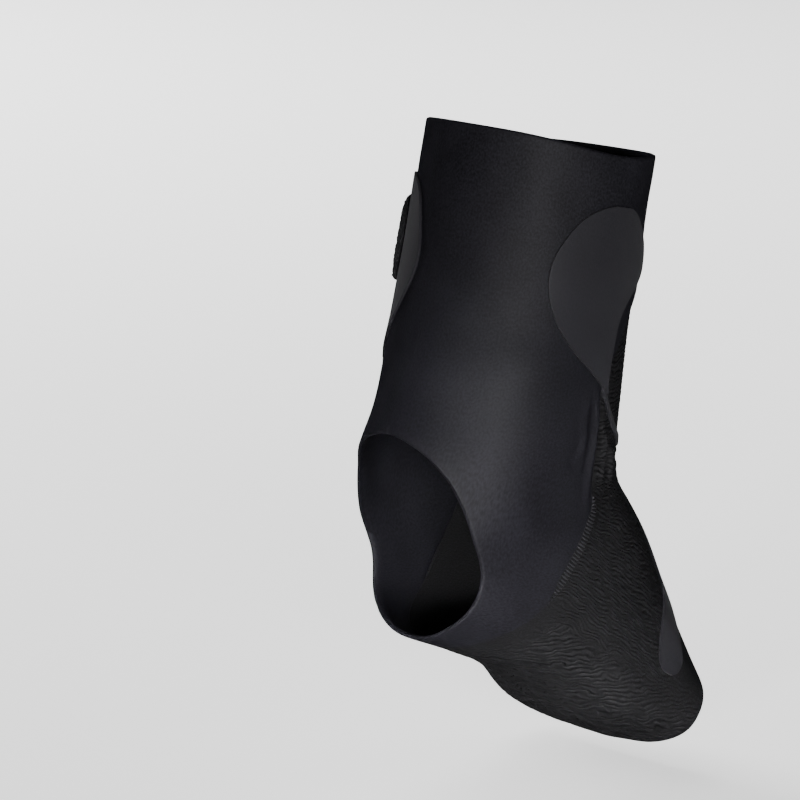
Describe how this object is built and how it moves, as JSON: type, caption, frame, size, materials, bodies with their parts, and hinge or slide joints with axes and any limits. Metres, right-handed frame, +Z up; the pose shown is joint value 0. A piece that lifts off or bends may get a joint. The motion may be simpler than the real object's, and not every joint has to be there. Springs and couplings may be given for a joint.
{
  "type": "ankle brace",
  "caption": "Slip-on stretch ankle brace for a right foot, open at heel and toes, with a smooth cuff, ribbed knit front, teardrop side tabs and an instep strap.",
  "frame": {"origin": "centre of the ankle, inside the hollow of the brace", "axes": "+X ahead to the toes, level; +Y to the inner side of the right foot; +Z up, with the heel raised as it is worn"},
  "size_m": [0.1267, 0.0905, 0.2414],
  "materials": {
    "shell_cloth": "smooth fine matte stretch cloth, charcoal black",
    "rib_knit": "ribbed elastic knit, black",
    "tab_film": "smooth matte film, dark grey",
    "pad_texture": "rough black textile pad",
    "seam_thread": "flat ladder stitch, black"
  },
  "bodies": {
    "root": {"sleeve_shell": "shell_cloth", "ribbed_front": "rib_knit", "outer_tab": "tab_film", "inner_tab": "tab_film", "inner_pad": "pad_texture", "outer_strap": "tab_film", "inner_strap": "tab_film", "instep_tab": "tab_film", "outer_seam": "seam_thread", "inner_seam": "seam_thread"}
  },
  "joints": []
}
